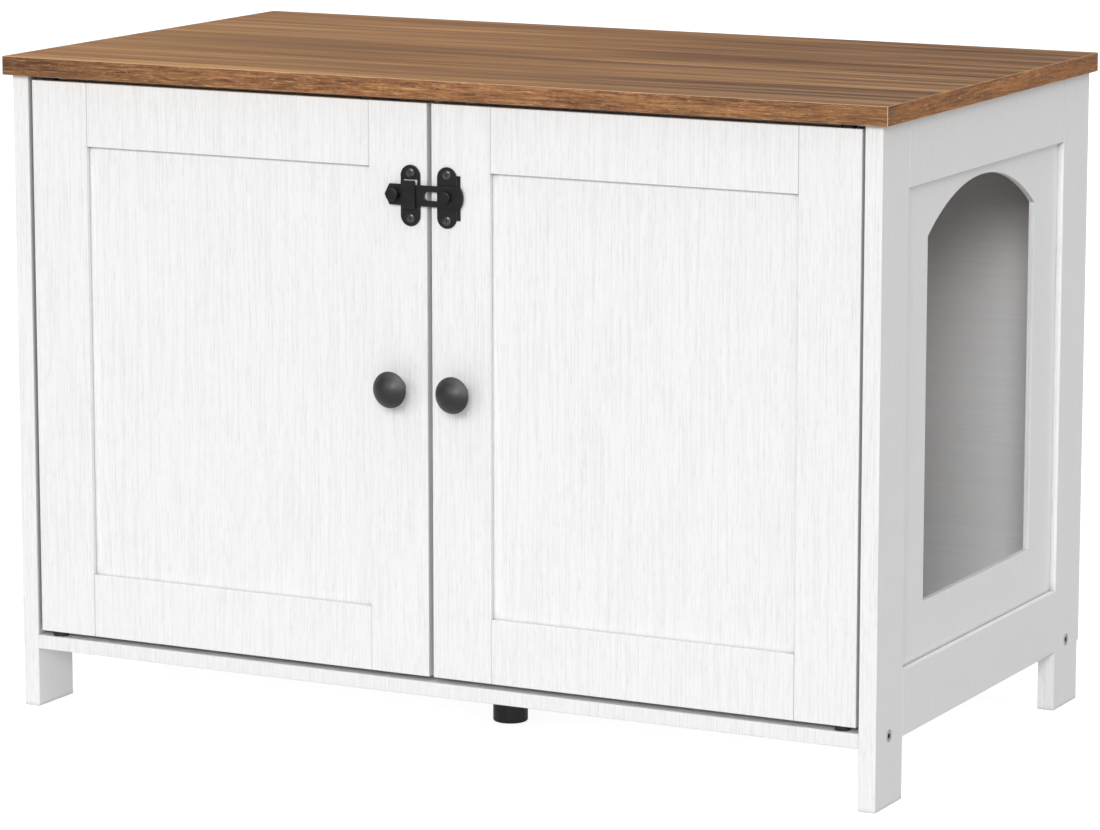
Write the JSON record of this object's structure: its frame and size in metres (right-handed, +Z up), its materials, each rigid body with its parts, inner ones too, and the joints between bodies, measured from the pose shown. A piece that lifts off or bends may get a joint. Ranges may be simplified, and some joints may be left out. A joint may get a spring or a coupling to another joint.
{
  "type": "cat litter box cabinet",
  "caption": "Low white cabinet with a walnut-look top, two inset panel doors with black knobs and a flip latch, and an arched cat opening in the right side.",
  "frame": {"origin": "middle of the bounding box's footprint, on the floor", "axes": "+Z up, +X to the right along the front, +Y from the doors to the back"},
  "size_m": [0.813, 0.468, 0.563],
  "materials": {
    "walnut_board": "satin printed walnut grain",
    "white_board": "matt white with a fine embossed grain",
    "back_sheet": "matt white sheet",
    "dowel_wood": "raw beech",
    "zinc_steel": "zinc plated",
    "knob_black": "satin black",
    "latch_black": "black powder coat",
    "black_plastic": "satin black",
    "white_plastic": "matt white"
  },
  "bodies": {
    "cabinet": {"back_panel": "back_sheet", "back_panel_nails": "zinc_steel", "bottom_board": "white_board", "door_stop_housing": "white_plastic", "door_stop_magnets": "zinc_steel", "door_stop_screws": "zinc_steel", "leg_back_left": "white_board", "leg_back_right": "white_board", "leg_front_left": "white_board", "leg_front_right": "white_board", "pivot_sockets_lower": "black_plastic", "pivot_sockets_upper": "black_plastic", "rail_dowels": "dowel_wood", "side_bottom_rail_left": "white_board", "side_bottom_rail_right": "white_board", "side_panel_left": "white_board", "side_panel_right_arched": "white_board", "side_screws": "zinc_steel", "side_top_rail_left": "white_board", "side_top_rail_right": "white_board", "support_foot": "black_plastic", "support_foot_screw": "zinc_steel", "top_board": "walnut_board", "top_cam_bolts": "zinc_steel", "top_cam_discs": "zinc_steel"},
    "door_left": {"door_left_bottom_rail": "white_board", "door_left_inner_stile": "white_board", "door_left_outer_stile": "white_board", "door_left_panel": "white_board", "door_left_pivot_pins": "black_plastic", "door_left_top_rail": "white_board", "knob_left": "knob_black", "knob_screw_left": "zinc_steel", "strike_plate_left": "zinc_steel", "strike_plate_screw_left": "zinc_steel", "latch_keeper_plate": "latch_black", "latch_keeper_screws": "latch_black"},
    "door_right": {"door_right_bottom_rail": "white_board", "door_right_inner_stile": "white_board", "door_right_outer_stile": "white_board", "door_right_panel": "white_board", "door_right_pivot_pins": "black_plastic", "door_right_top_rail": "white_board", "knob_right": "knob_black", "knob_screw_right": "zinc_steel", "strike_plate_right": "zinc_steel", "strike_plate_screw_right": "zinc_steel", "latch_pivot_plate": "latch_black", "latch_pivot_plate_screws": "latch_black", "latch_pivot_stud": "latch_black"},
    "lever": {"latch_lever": "latch_black", "latch_lever_peg": "latch_black"}
  },
  "joints": [
    {"name": "door_left_hinge", "type": "hinge", "parent": "cabinet", "child": "door_left", "pos_m": [-0.3675, -0.2015, 0.3052], "axis": [0, 0, -1], "range_deg": [0, 110]},
    {"name": "door_right_hinge", "type": "hinge", "parent": "cabinet", "child": "door_right", "pos_m": [0.3675, -0.2015, 0.3052], "axis": [0, 0, 1], "range_deg": [0, 110]},
    {"name": "latch_lever_pivot", "type": "hinge", "parent": "door_right", "child": "lever", "pos_m": [0.0168, -0.21175, 0.4679], "axis": [0, 1, 0], "range_deg": [0, 180]}
  ]
}
